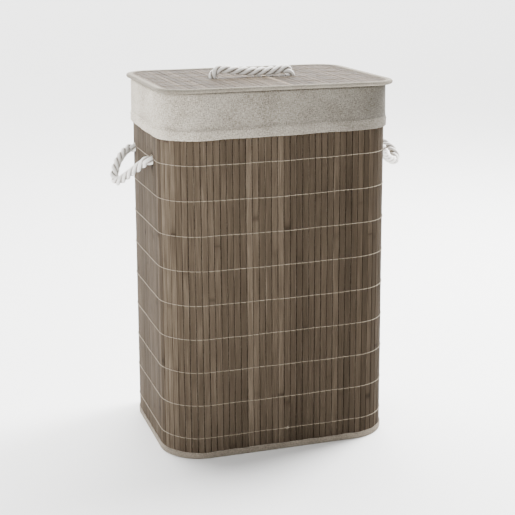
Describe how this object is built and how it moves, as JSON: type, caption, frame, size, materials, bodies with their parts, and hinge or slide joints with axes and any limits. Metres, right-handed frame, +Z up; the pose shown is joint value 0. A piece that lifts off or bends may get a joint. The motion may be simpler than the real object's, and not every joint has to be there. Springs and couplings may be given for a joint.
{
  "type": "laundry hamper with lid",
  "caption": "Tall bamboo-slat laundry hamper with a slatted lift-off lid, rope grips and a cloth liner folded over the rim as a cuff.",
  "frame": {"origin": "middle of the base, on the floor", "axes": "+Z up, the front faces -Y, +X to the right of someone looking at the front"},
  "size_m": [0.5023, 0.298, 0.6194],
  "materials": {
    "bamboo": "grey-brown stained bamboo, matt, fine upright grain",
    "lashing_thread": "pale twisted cotton thread",
    "binding_tape": "plain woven beige-grey tape",
    "pale_tape": "plain woven pale tape",
    "steel_wire": "drawn wire, hidden in the hems",
    "hardboard": "plain hardboard",
    "base_cloth": "non-woven cloth",
    "liner_cloth": "plain woven cotton and linen, off-white",
    "cotton_rope": "three-strand twisted cotton rope, white"
  },
  "bodies": {
    "basket": {"front_slats": "bamboo", "back_slats": "bamboo", "left_slats": "bamboo", "right_slats": "bamboo", "front_left_corner_slats": "bamboo", "front_right_corner_slats": "bamboo", "back_left_corner_slats": "bamboo", "back_right_corner_slats": "bamboo", "outer_lashing_threads": "lashing_thread", "inner_lashing_threads": "lashing_thread", "wall_seam_tape": "binding_tape", "top_hoop": "steel_wire", "top_binding": "pale_tape", "bottom_hoop": "steel_wire", "bottom_binding": "binding_tape", "base_board": "hardboard", "base_cloth": "base_cloth", "left_grip_knots": "cotton_rope", "right_grip_knots": "cotton_rope"},
    "liner": {"liner_bag": "liner_cloth", "liner_cuff": "liner_cloth"},
    "lid": {"lid_slats": "bamboo", "lid_lashing_threads": "lashing_thread", "lid_board": "hardboard", "lid_lining": "liner_cloth", "lid_edge_hoop": "steel_wire", "lid_edge_binding": "pale_tape", "lid_grip_rope": "cotton_rope", "lid_grip_knots": "cotton_rope"},
    "left_grip": {"left_grip_rope": "cotton_rope"},
    "right_grip": {"right_grip_rope": "cotton_rope"}
  },
  "joints": [
    {"name": "liner_lift", "type": "slide", "parent": "basket", "child": "liner", "axis": [0, 0, 1], "range_m": [0, 0.6]},
    {"name": "lid_lift", "type": "slide", "parent": "liner", "child": "lid", "axis": [0, 0, 1], "range_m": [0, 0.15]},
    {"name": "left_grip_swing", "type": "hinge", "parent": "basket", "child": "left_grip", "pos_m": [-0.19855, 0.012, 0.479], "axis": [0, 1, 0], "range_deg": [-28, 105]},
    {"name": "right_grip_swing", "type": "hinge", "parent": "basket", "child": "right_grip", "pos_m": [0.19855, -0.008, 0.479], "axis": [0, -1, 0], "range_deg": [-35, 90]}
  ]
}
